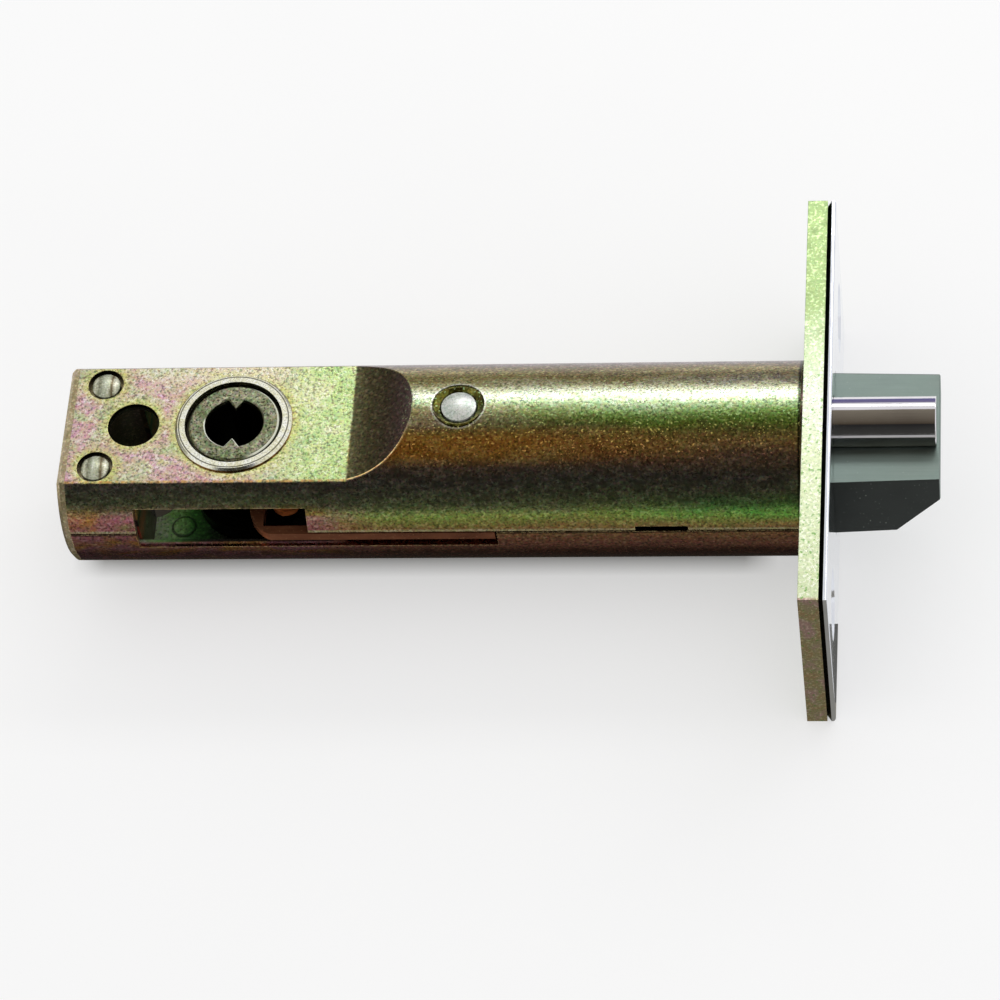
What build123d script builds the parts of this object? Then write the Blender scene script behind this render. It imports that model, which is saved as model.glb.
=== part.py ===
from build123d import *
import math
import os

os.makedirs("parts", exist_ok=True)

# Frame: X runs along the tube toward the bolt, Z is square to the two flats, and the
# origin is the middle of the plate's back, on the tube's axis. Sizes are millimetres.

# Plates at the door's edge
plate_height = 57.15
plate_width = 25.4
back_plate_thickness = 2.35
face_plate_thickness = 1.0
face_plate_back_bevel = 0.5
face_plate_front_round = 0.35
plate_screw_spacing = 41.3
plate_screw_hole_radius = 2.3
countersink_radius = 4.3
countersink_depth = 2.0
outer_face = back_plate_thickness + face_plate_thickness

# Rolled case tube with two pressed flats; its front end is necked to sit in the back plate
plate_rim = 1.2
tube_radius = plate_width / 2 - plate_rim
tube_wall = 1.1
tube_neck_step = 0.5
plate_groove = 0.3
flat_depth = 3.57
ramp_radius = 14.5
ramp_start_angle = 8.0
bore_radius = tube_radius - tube_wall
neck_radius = tube_radius - tube_neck_step
flat_height = tube_radius - flat_depth
flat_inside = flat_height - tube_wall
flat_half_width = math.sqrt(tube_radius**2 - flat_height**2)

# Stations along the tube, measured from the hub's axis
backset = 70.7
hub_to_rear_end = 19.5
hub_to_rear_rivets = 16.1
hub_to_fixing_hole = 12.1
hub_to_window_rear = 11.6
hub_to_dimple = 7.9
hub_to_window_front = 9.0
hub_to_ramp = 14.05
hub_to_stop = 27.1
hub_to_slot_front = 31.3
hub_to_notch = 47.6
notch_length = 6.2
hub_x = outer_face - backset
rear_end_x = hub_x - hub_to_rear_end
rear_rivet_x = hub_x - hub_to_rear_rivets
fixing_hole_x = hub_x - hub_to_fixing_hole
window_rear_x = hub_x - hub_to_window_rear
dimple_x = hub_x - hub_to_dimple
window_front_x = hub_x + hub_to_window_front
ramp_start_x = hub_x + hub_to_ramp
stop_x = hub_x + hub_to_stop
slot_front_x = hub_x + hub_to_slot_front
notch_rear_x = hub_x + hub_to_notch
notch_front_x = notch_rear_x + notch_length

# Seam, window and slot down the near side of the tube
seam_z = 1.65
seam_gap = 0.2
slot_low_z = -0.95
window_high_z = 5.15
notch_height = 0.6

# Holes and rivets
fixing_hole_radius = 3.1
rear_rivet_radius = 1.7
rear_rivet_shank_radius = 1.4
rear_rivet_edge = 0.63
rear_rivet_rise = 0.25
rivet_ring_gap = 0.45
rivet_dome_height = 0.5
stop_rivet_radius = 2.05
stop_rivet_depth = 2.5
stop_countersink_radius = 3.05
stop_countersink_depth = 0.75
dimple_radius = 1.45
dimple_height = 0.12
dimple_root = 0.9
dimple_side = 4.5
rear_rivet_offset = flat_half_width - rear_rivet_radius - rear_rivet_edge

# Clearances, and how far a cutting shape runs past what it cuts
overcut = 1.0
fit_gap = 0.05
running_gap = 0.07
slide_gap = 0.25
part_gap = 0.3

# End plug
plug_flange = 1.0
plug_chamfer = 0.45
plug_step = 0.2
plug_front_x = window_rear_x + plug_step

# Hub and its two bush rings
bush_flange_radius = 7.02
bush_flange_height = 0.5
bush_flange_bevel = 0.3
bush_sleeve_radius = 6.4
bush_bore_radius = 5.85
hub_flange_radius = 6.5
hub_barrel_radius = 5.0
hub_barrel_half = 4.6
hub_face_radius = 5.4
hub_recess = 0.2
hub_shoulder_drop = 0.5
hub_edge_chamfer = 0.2
socket_radius = 3.5
socket_tooth_gap = 4.3
socket_tooth_half_width = 1.75
socket_chamfer = 0.15
cam_nose_radius = 1.7
cam_stem_width = 2.0
cam_thickness = 2.3
cam_nose_ahead = 5.6

# Travel of the bolt and the plunger, and how far each still stands out when it is in
bolt_travel = 12.0
plunger_travel = 11.6
flush_margin = 0.3

# Retractor and tail share one level, cut from the same sheet
strip_thickness = 1.25
strip_middle_z = 0.52
run_width = 1.2
run_inset = 0.95
leg_ahead = 3.4
leg_width = 1.8
leg_length = 4.75
leg_corner_length = 4.4
leg_corner_reach = 2.64
leg_corner_bow_x = 0.81
leg_corner_bow_y = 1.45
hook_width = 1.5
hook_top_y = -2.6

# Bolt and tail
bolt_corner_gap = 0.55
bolt_thickness = 10.14
bolt_draft = 0.35
bolt_body_length = 26.5
bevel_length = 5.2
bevel_height = 6.21
bolt_edge_bevel = 0.12
tail_half_width = 2.3
tail_head_half_width = 4.2
tail_head_length = 2.2
tail_seat_depth = 4.5
tail_pin_radius = 1.0

# Dead-locking plunger
plunger_radius = 3.0
plunger_bore_gap = 0.33
plunger_flat_drop = 0.87
plunger_flat_gap = 0.12
plunger_length = 25.5
plunger_rod_radius = 0.95
plunger_rod_length = 21.5
plunger_rod_seat = 4.0
plunger_rod_rise = 0.83
plunger_tip_round = 0.15

# Spring stop, guide and dead-locking pawl
stop_half_length = 2.0
guide_length = 9.0
pawl_near_y = 4.6
pawl_thickness = 1.2
pawl_lift = 0.32
pawl_height = 1.4
pawl_eye_radius = 1.35
pawl_pin_radius = 0.75
pawl_pivot_lift = 0.82
leaf_thickness = 0.3
leaf_length = 11.0

# Coil springs
bolt_spring_radius = 3.2
bolt_spring_wire = 0.45
bolt_spring_turns = 6
plunger_spring_radius = 1.4
plunger_spring_wire = 0.25
plunger_spring_turns = 8
wire_sides = 4

# Derived stations
stop_rear_x = stop_x - stop_half_length
stop_front_x = stop_x + stop_half_length
hook_front_x = stop_rear_x - part_gap
hook_rear_x = hook_front_x - hook_width
tail_rear_x = hook_rear_x - part_gap - tail_head_length
bolt_tip_x = outer_face + bolt_travel + flush_margin
bolt_rear_x = bolt_tip_x - bolt_body_length
plunger_tip_x = outer_face + plunger_travel + flush_margin
plunger_rear_x = plunger_tip_x - plunger_length

# Derived levels: the plunger lies against the bore, and the bolt's face against the plunger
plunger_middle_z = bore_radius - plunger_radius - plunger_bore_gap
plunger_flat_z = plunger_middle_z - plunger_flat_drop
plunger_rod_z = plunger_middle_z + plunger_rod_rise
bolt_face_z = plunger_flat_z - plunger_flat_gap
bolt_back_z = bolt_face_z - bolt_thickness
bevel_end_z = bolt_back_z + bevel_height
bolt_half_width = math.sqrt(bore_radius**2 - bolt_face_z**2) - bolt_corner_gap
pawl_low_z = bolt_face_z + pawl_lift
pawl_pivot_z = bolt_face_z + pawl_pivot_lift
strip_low_z = strip_middle_z - strip_thickness / 2
strip_high_z = strip_middle_z + strip_thickness / 2
run_middle_y = run_inset - tube_radius
run_near_y = run_middle_y - run_width / 2
run_far_y = run_middle_y + run_width / 2
leg_top_y = run_near_y + leg_length
cam_length = -run_far_y - part_gap - cam_nose_radius


def block(x_low, x_high, y_low, y_high, z_low, z_high):
    centre = Pos((x_low + x_high) / 2, (y_low + y_high) / 2, (z_low + z_high) / 2)
    return centre * Box(x_high - x_low, y_high - y_low, z_high - z_low)


def rod_x(radius, x_low, x_high, y=0.0, z=0.0):
    return Pos((x_low + x_high) / 2, y, z) * Rot(0, 90, 0) * Cylinder(radius, x_high - x_low)


def rod_y(radius, y_low, y_high, x, z):
    return Pos(x, (y_low + y_high) / 2, z) * Rot(90, 0, 0) * Cylinder(radius, y_high - y_low)


def rod_z(radius, z_low, z_high, x, y=0.0):
    return Pos(x, y, (z_low + z_high) / 2) * Cylinder(radius, z_high - z_low)


def cone_z(low_radius, high_radius, z_low, z_high, x, y=0.0):
    return Pos(x, y, (z_low + z_high) / 2) * Cone(low_radius, high_radius, z_high - z_low)


def dome(radius, z_low, x):
    ball_radius = (radius**2 + rivet_dome_height**2) / (2 * rivet_dome_height)
    z_high = z_low + rivet_dome_height
    return Pos(x, 0, z_high - ball_radius) * Sphere(ball_radius) & rod_z(radius, z_low, z_high, x)


def side_outline(inset):
    """Side view of the tube with its flats and ramps, moved inward by the inset."""
    angle = math.radians(ramp_start_angle)
    centre_x = ramp_start_x - ramp_radius * math.sin(angle)
    centre_z = flat_height + ramp_radius * math.cos(angle)
    arc_radius = ramp_radius + inset
    level = flat_height - inset
    top = tube_radius + overcut
    far_rear = rear_end_x - overcut
    far_front = outer_face + overcut

    def ramp_at(z):
        return centre_x + math.sqrt(arc_radius**2 - (centre_z - z) ** 2)

    middle = (level + top) / 2
    upper = [(far_rear, level), (ramp_at(level), level)]
    lower = [(x, -z) for x, z in upper]
    edges = [
        Line(*upper),
        ThreePointArc(upper[1], (ramp_at(middle), middle), (ramp_at(top), top)),
        Polyline((ramp_at(top), top), (far_front, top), (far_front, -top), (ramp_at(top), -top)),
        ThreePointArc((ramp_at(top), -top), (ramp_at(middle), -middle), lower[1]),
        Line(lower[1], lower[0]),
        Line(lower[0], upper[0]),
    ]
    face = make_face(Curve() + edges)
    return extrude(Plane.XZ * face, amount=top, both=True)


def case_tube():
    skin = rod_x(tube_radius, rear_end_x, -plate_groove) & side_outline(0)
    skin += rod_x(neck_radius, -plate_groove, back_plate_thickness)
    hollow = rod_x(bore_radius, rear_end_x - overcut, outer_face) & side_outline(tube_wall)
    tube = skin - hollow
    near = -tube_radius - overcut
    inner = -tube_radius / 2
    seam_low = seam_z - seam_gap / 2
    seam_high = seam_z + seam_gap / 2
    tube -= block(rear_end_x - overcut, outer_face, near, inner, seam_low, seam_high)
    tube -= block(window_rear_x, window_front_x, near, inner, slot_low_z, window_high_z)
    tube -= block(window_front_x - overcut, slot_front_x, near, inner, slot_low_z, seam_high)
    tube -= block(notch_rear_x, notch_front_x, near, inner, seam_z, seam_high + notch_height)
    through = flat_height + overcut
    tube -= rod_z(bush_sleeve_radius + fit_gap, -through, through, hub_x)
    tube -= rod_z(fixing_hole_radius, -through, through, fixing_hole_x)
    for side in (-1, 1):
        rivet_hole = rod_z(rear_rivet_radius + rivet_ring_gap, -through, through, rear_rivet_x)
        tube -= Pos(0, side * rear_rivet_offset, 0) * rivet_hole
    tube -= rod_z(stop_rivet_radius + fit_gap, flat_inside, tube_radius + overcut, stop_x)
    sink_low = tube_radius - stop_countersink_depth
    tube -= cone_z(stop_rivet_radius, stop_countersink_radius, sink_low, tube_radius, stop_x)
    dimple_top = dimple_height - flat_inside
    tube += rod_z(dimple_radius, dimple_top - dimple_root, dimple_top, dimple_x, -dimple_side)
    return tube


def end_plug():
    inside = flat_inside - fit_gap
    core = rod_x(bore_radius - fit_gap, rear_end_x, plug_front_x)
    core &= block(rear_end_x, plug_front_x, -tube_radius, tube_radius, -inside, inside)
    flange_rear = rear_end_x - plug_flange
    flange = rod_x(tube_radius, flange_rear, rear_end_x)
    flange &= block(flange_rear, rear_end_x, -tube_radius, tube_radius, -flat_height, flat_height)
    flange = chamfer(flange.faces().sort_by(Axis.X)[0].edges(), plug_chamfer)
    plug = core + flange
    plug -= rod_z(fixing_hole_radius + plug_step, -flat_height, flat_height, fixing_hole_x)
    for side in (-1, 1):
        hole = rod_z(rear_rivet_shank_radius, -flat_height, flat_height, rear_rivet_x)
        plug -= Pos(0, side * rear_rivet_offset, 0) * hole
    return plug


def rear_rivets():
    seat = flat_inside - fit_gap
    rim = flat_height + rear_rivet_rise - rivet_dome_height
    head = rod_z(rear_rivet_radius, seat, rim, 0) + dome(rear_rivet_radius, rim, 0)
    rivet = rod_z(rear_rivet_shank_radius, -seat, seat, 0) + head + mirror(head, Plane.XY)
    return [Pos(rear_rivet_x, side * rear_rivet_offset, 0) * rivet for side in (-1, 1)]


def plate_screw_cutter(y):
    hole = rod_x(plate_screw_hole_radius, -overcut, outer_face + overcut, y)
    sink_depth = outer_face - countersink_depth / 2
    sink = Cone(plate_screw_hole_radius, countersink_radius, countersink_depth)
    return hole + Pos(sink_depth, y, 0) * Rot(0, 90, 0) * sink


def plate_screws():
    return [plate_screw_cutter(side * plate_screw_spacing / 2) for side in (-1, 1)]


def back_plate():
    half_height = plate_height / 2
    half_width = plate_width / 2
    plate = block(0, back_plate_thickness, -half_height, half_height, -half_width, half_width)
    plate -= rod_x(neck_radius + fit_gap, -overcut, outer_face)
    plate -= rod_x(tube_radius + fit_gap, -overcut, plate_groove)
    for cutter in plate_screws():
        plate -= cutter
    return plate


def face_plate():
    half_height = plate_height / 2
    half_width = plate_width / 2
    plate = block(
        back_plate_thickness, outer_face, -half_height, half_height, -half_width, half_width
    )
    back = plate.faces().sort_by(Axis.X)[0]
    plate = chamfer(back.edges(), face_plate_back_bevel)
    front = plate.faces().sort_by(Axis.X)[-1]
    plate = fillet(front.edges(), face_plate_front_round)
    opening = bolt_half_width + slide_gap
    plate -= block(
        0,
        outer_face + overcut,
        -opening,
        opening,
        bolt_back_z - slide_gap,
        bolt_face_z + slide_gap,
    )
    plate -= rod_x(plunger_radius + slide_gap, 0, outer_face + overcut, 0, plunger_middle_z)
    for cutter in plate_screws():
        plate -= cutter
    return plate


def hub_bush():
    ring = rod_z(bush_flange_radius, flat_height, flat_height + bush_flange_height, hub_x)
    ring = chamfer(ring.edges().group_by(Axis.Z)[-1], bush_flange_bevel)
    ring += rod_z(bush_sleeve_radius, flat_inside, flat_height, hub_x)
    return ring - rod_z(bush_bore_radius, 0, flat_height + overcut, hub_x)


def hub_socket():
    """Round hole with two facing teeth, so the spindle has some free turn."""
    tip = socket_tooth_gap / 2
    base = socket_radius + overcut
    half = socket_tooth_half_width
    tooth = make_face(Polyline((0, tip), (half, base), (-half, base), close=True))
    outline = Circle(socket_radius) - tooth - mirror(tooth, Plane.XZ)
    return extrude(outline, amount=flat_height + overcut, both=True)


def hub():
    face_end = flat_height + bush_flange_height - hub_recess
    journal_end = flat_height - hub_shoulder_drop
    journal_radius = bush_bore_radius - running_gap
    flange_end = flat_inside - part_gap
    body = Cylinder(hub_face_radius, 2 * face_end)
    rims = body.edges().filter_by(GeomType.CIRCLE)
    body = chamfer(rims, hub_edge_chamfer)
    body += Cylinder(journal_radius, 2 * journal_end)
    groove = Cylinder(tube_radius, 2 * hub_barrel_half)
    groove -= Cylinder(hub_barrel_radius, 2 * hub_barrel_half)
    body += Cylinder(hub_flange_radius, 2 * flange_end)
    body -= groove
    stem_length = cam_length - hub_barrel_radius / 2
    stem_middle = -hub_barrel_radius / 2 - stem_length / 2
    cam = Pos(0, stem_middle, 0) * Box(cam_stem_width, stem_length, cam_thickness)
    cam += Pos(0, -cam_length, 0) * Cylinder(cam_nose_radius, cam_thickness)
    cam_turn = math.degrees(math.asin(cam_nose_ahead / cam_length))
    body += Pos(0, 0, strip_middle_z) * Rot(0, 0, cam_turn) * cam
    body -= hub_socket()
    ends = body.faces().sort_by(Axis.Z)
    for end in (ends[0], ends[-1]):
        body = chamfer(end.inner_wires()[0].edges(), socket_chamfer)
    return Pos(hub_x, 0, 0) * body


def strip(*shapes):
    outline = Sketch() + list(shapes)
    return Pos(0, 0, strip_low_z) * extrude(outline, amount=strip_thickness)


def flat_bar(x_low, x_high, y_low, y_high):
    bar = Rectangle(x_high - x_low, y_high - y_low)
    return Pos((x_low + x_high) / 2, (y_low + y_high) / 2) * bar


def retractor():
    """Flat blank: a run in the tube's slot, a leg for the cam and a hook for the tail."""
    leg_front = hub_x + leg_ahead
    leg_rear = leg_front - leg_width
    corner_high = run_near_y + leg_corner_length
    corner_front = leg_rear + leg_corner_reach
    corner_middle = (leg_rear + leg_corner_bow_x, run_near_y + leg_corner_bow_y)
    edges = [
        Polyline((leg_rear, corner_high), (leg_rear, leg_top_y), (leg_front, leg_top_y)),
        Polyline((leg_front, leg_top_y), (leg_front, run_far_y), (corner_front, run_far_y)),
        Line((corner_front, run_far_y), (corner_front, run_near_y)),
        ThreePointArc((corner_front, run_near_y), corner_middle, (leg_rear, corner_high)),
    ]
    leg = make_face(Curve() + edges)
    run = flat_bar(corner_front, slot_front_x - part_gap, run_near_y, run_far_y)
    hook = flat_bar(hook_rear_x, hook_front_x, run_middle_y, hook_top_y)
    return strip(leg, run, hook)


def bolt_tail():
    bar = flat_bar(
        tail_rear_x, bolt_rear_x + tail_seat_depth, -tail_half_width, tail_half_width
    )
    head_front = tail_rear_x + tail_head_length
    head = flat_bar(tail_rear_x, head_front, -tail_head_half_width, tail_head_half_width)
    return strip(bar, head) - tail_pin()


def tail_pin():
    pin_x = bolt_rear_x + tail_seat_depth / 2
    return rod_z(tail_pin_radius, bolt_back_z + part_gap, bolt_face_z - part_gap, pin_x)


def latch_bolt():
    width = bolt_half_width
    tip_width = width - bolt_draft
    bevel_x = bolt_tip_x - bevel_length
    bevel_rise = bolt_draft * (bevel_x - outer_face) / (bolt_tip_x - outer_face)
    outline = make_face(
        Polyline(
            (bolt_rear_x, bolt_back_z),
            (outer_face, bolt_back_z),
            (bevel_x, bolt_back_z + bevel_rise),
            (bolt_tip_x, bevel_end_z),
            (bolt_tip_x, bolt_face_z),
            (bolt_rear_x, bolt_face_z),
            close=True,
        )
    )
    plan = make_face(
        Polyline(
            (bolt_rear_x, -width),
            (outer_face, -width),
            (bolt_tip_x, -tip_width),
            (bolt_tip_x, tip_width),
            (outer_face, width),
            (bolt_rear_x, width),
            close=True,
        )
    )
    bolt = extrude(Plane.XZ * outline, amount=width, both=True)
    bolt &= extrude(plan, amount=tube_radius, both=True)
    tip_edges = bolt.faces().sort_by(Axis.X)[-1].edges()
    bolt = chamfer(tip_edges, bolt_edge_bevel)
    tail_depth = bolt_rear_x + tail_seat_depth
    seat = tail_half_width + fit_gap
    bolt -= block(
        bolt_rear_x - overcut,
        tail_depth,
        -seat,
        seat,
        strip_low_z - fit_gap,
        strip_high_z + fit_gap,
    )
    pin_x = bolt_rear_x + tail_seat_depth / 2
    return bolt - rod_z(tail_pin_radius, bolt_back_z - overcut, bolt_face_z + overcut, pin_x)


def plunger():
    body = rod_x(plunger_radius, plunger_rear_x, plunger_tip_x, 0, plunger_middle_z)
    body -= block(
        plunger_rear_x - overcut,
        plunger_tip_x + overcut,
        -plunger_radius,
        plunger_radius,
        0,
        plunger_flat_z,
    )
    tip = body.faces().sort_by(Axis.X)[-1]
    body = fillet(tip.edges().filter_by(GeomType.CIRCLE), plunger_tip_round)
    seat_x = plunger_rear_x + plunger_rod_seat
    return body - rod_x(plunger_rod_radius, plunger_rear_x - overcut, seat_x, 0, plunger_rod_z)


def plunger_rod():
    seat_x = plunger_rear_x + plunger_rod_seat
    return rod_x(plunger_rod_radius, seat_x - plunger_rod_length, seat_x, 0, plunger_rod_z)


def pawl_pin():
    middle = pawl_near_y + pawl_thickness / 2
    wall_y = math.sqrt(bore_radius**2 - (pawl_pivot_z + pawl_pin_radius) ** 2)
    reach = wall_y - fit_gap - middle
    return rod_y(pawl_pin_radius, middle - reach, middle + reach, stop_x, pawl_pivot_z)


def deadlock_pawl():
    far_y = pawl_near_y + pawl_thickness
    high_z = pawl_low_z + pawl_height
    nose_x = bolt_rear_x - part_gap
    pawl = block(stop_x, nose_x, pawl_near_y, far_y, pawl_low_z, high_z)
    pawl += rod_y(pawl_eye_radius, pawl_near_y, far_y, stop_x, pawl_pivot_z)
    return pawl - pawl_pin()


def pawl_spring():
    far_y = pawl_near_y + pawl_thickness
    low_z = pawl_low_z + pawl_height + fit_gap
    return block(
        stop_front_x, stop_front_x + leaf_length, pawl_near_y, far_y, low_z, low_z + leaf_thickness
    )


def spring_stop():
    disc = rod_x(bore_radius - fit_gap, stop_rear_x, stop_front_x)
    tail_y = tail_half_width + slide_gap
    tail_low = strip_low_z - slide_gap
    tail_high = strip_high_z + slide_gap
    cut_rear = stop_rear_x - overcut
    cut_front = stop_front_x + overcut
    disc -= block(cut_rear, cut_front, -tail_y, tail_y, tail_low, tail_high)
    run_clear = run_far_y + part_gap
    disc -= block(cut_rear, cut_front, -tube_radius, run_clear, slot_low_z, seam_z)
    disc -= rod_x(plunger_rod_radius + slide_gap, cut_rear, cut_front, 0, plunger_rod_z)
    pawl_near = pawl_near_y - slide_gap
    pawl_far = pawl_near_y + pawl_thickness + slide_gap
    slot_low = pawl_pivot_z - pawl_eye_radius - slide_gap
    disc -= block(cut_rear, cut_front, pawl_near, pawl_far, slot_low, tube_radius)
    disc -= pawl_pin()
    return disc - stop_rivet()


def stop_rivet():
    rim = tube_radius - rivet_dome_height
    rivet = rod_z(stop_rivet_radius, tube_radius - stop_rivet_depth, rim, stop_x)
    return rivet + dome(stop_rivet_radius, rim, stop_x)


def bolt_guide():
    top = bolt_back_z - slide_gap
    guide = rod_x(bore_radius - fit_gap, -guide_length, back_plate_thickness)
    return guide & block(
        -guide_length, back_plate_thickness, -tube_radius, tube_radius, -tube_radius, top
    )


def coil(x_low, x_high, z, radius, wire, turns):
    length = x_high - x_low - 2 * wire
    path = Helix(pitch=length / turns, height=length, radius=radius)
    section = Plane(path @ 0, z_dir=path % 0) * RegularPolygon(wire, wire_sides)
    spring = sweep(section, path=path, is_frenet=True)
    return Pos(x_low + wire, 0, z) * Rot(0, 90, 0) * spring


def bolt_spring():
    return coil(
        stop_front_x,
        bolt_rear_x,
        strip_middle_z,
        bolt_spring_radius,
        bolt_spring_wire,
        bolt_spring_turns,
    )


def plunger_spring():
    return coil(
        stop_front_x,
        plunger_rear_x,
        plunger_rod_z,
        plunger_spring_radius,
        plunger_spring_wire,
        plunger_spring_turns,
    )


upper_bush = hub_bush()
pieces = {
    "case_tube": case_tube(),
    "end_plug": end_plug(),
    "rear_rivets": Compound(children=rear_rivets()),
    "back_plate": back_plate(),
    "face_plate": face_plate(),
    "hub_bush_upper": upper_bush,
    "hub_bush_lower": mirror(upper_bush, Plane.XY),
    "spring_stop": spring_stop(),
    "stop_rivet": stop_rivet(),
    "bolt_guide": bolt_guide(),
    "deadlock_pawl": deadlock_pawl(),
    "pawl_pin": pawl_pin(),
    "pawl_spring": pawl_spring(),
    "hub": hub(),
    "retractor": retractor(),
    "latch_bolt": latch_bolt(),
    "bolt_tail": bolt_tail(),
    "tail_pin": tail_pin(),
    "bolt_spring": bolt_spring(),
    "plunger": plunger(),
    "plunger_rod": plunger_rod(),
    "plunger_spring": plunger_spring(),
}

for name, shape in pieces.items():
    export_step(shape, "parts/" + name + ".step")
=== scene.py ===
import math

import bpy
from mathutils import Matrix, Vector


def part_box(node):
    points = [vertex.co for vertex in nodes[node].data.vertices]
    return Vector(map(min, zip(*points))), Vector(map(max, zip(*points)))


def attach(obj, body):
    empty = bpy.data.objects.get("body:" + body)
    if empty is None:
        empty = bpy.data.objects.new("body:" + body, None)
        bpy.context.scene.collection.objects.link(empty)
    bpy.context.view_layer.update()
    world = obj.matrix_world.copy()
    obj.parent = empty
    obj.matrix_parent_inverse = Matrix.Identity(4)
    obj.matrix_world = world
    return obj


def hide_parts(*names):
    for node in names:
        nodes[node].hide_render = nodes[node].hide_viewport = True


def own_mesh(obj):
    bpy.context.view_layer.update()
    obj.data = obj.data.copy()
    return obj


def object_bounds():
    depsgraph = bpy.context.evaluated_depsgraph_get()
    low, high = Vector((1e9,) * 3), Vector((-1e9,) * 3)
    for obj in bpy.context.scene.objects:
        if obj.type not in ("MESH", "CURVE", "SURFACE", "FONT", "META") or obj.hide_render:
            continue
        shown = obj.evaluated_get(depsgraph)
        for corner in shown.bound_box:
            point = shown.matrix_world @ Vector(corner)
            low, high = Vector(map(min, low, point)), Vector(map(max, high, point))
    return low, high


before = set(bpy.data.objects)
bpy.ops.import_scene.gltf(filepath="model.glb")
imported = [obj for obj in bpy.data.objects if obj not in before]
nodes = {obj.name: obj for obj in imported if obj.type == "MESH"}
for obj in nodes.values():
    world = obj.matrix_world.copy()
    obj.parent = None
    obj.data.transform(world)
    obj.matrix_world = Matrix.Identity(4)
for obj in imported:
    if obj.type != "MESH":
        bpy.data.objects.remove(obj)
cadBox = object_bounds()
mm = 0.001
print("frame loaded with", len(nodes), "nodes")


# the photo's view: a long lens from high on the -Y side, rolled a little; places in mm
cameraLook = {
    "aim": (-36.158, -5.69, 0.0),
    "azimuth": 11.881,
    "elevation": 54.403,
    "roll": -10.153,
    "distance": 511.55,
    "lens": 156.0,
    "sensor": 36.0,
    "nearest": 10.0,
}


def placeCamera():
    azimuth = math.radians(cameraLook["azimuth"])
    elevation = math.radians(cameraLook["elevation"])
    roll = math.radians(cameraLook["roll"])
    back = Vector((
        math.sin(azimuth) * math.cos(elevation),
        -math.cos(azimuth) * math.cos(elevation),
        math.sin(elevation),
    ))
    level = Vector((math.cos(azimuth), math.sin(azimuth), 0.0))
    upright = back.cross(level)
    right = level * math.cos(roll) + upright * math.sin(roll)
    up = upright * math.cos(roll) - level * math.sin(roll)
    bpy.ops.object.camera_add()
    camera = bpy.context.object
    turn = Matrix((right, up, back)).transposed().to_4x4()
    spot = (Vector(cameraLook["aim"]) + back * cameraLook["distance"]) * mm
    camera.matrix_world = Matrix.Translation(spot) @ turn
    camera.data.lens = cameraLook["lens"]
    camera.data.sensor_width = cameraLook["sensor"]
    camera.data.clip_start = cameraLook["nearest"] * mm
    bpy.context.scene.camera = camera


placeCamera()
print("camera placed")


# colours are written as they look on screen, 0 to 255
def screenColour(red, green, blue):
    def linear(value):
        share = value / 255
        return share / 12.92 if share <= 0.04045 else ((share + 0.055) / 1.055) ** 2.4

    return (linear(red), linear(green), linear(blue), 1.0)


# tones of the studio's cards are written as light, 0 to 1
def lightColour(red, green, blue):
    return (red, green, blue, 1.0)


# the axes that count in a distance from a line along X or along Z
aboutX = (0, 1, 1)
aboutZ = (1, 1, 0)

# most of a noise lies within the wide span, and its bulk within the narrow one
wideSpan = (0.2, 0.8)
narrowSpan = (0.3, 0.7)


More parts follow.
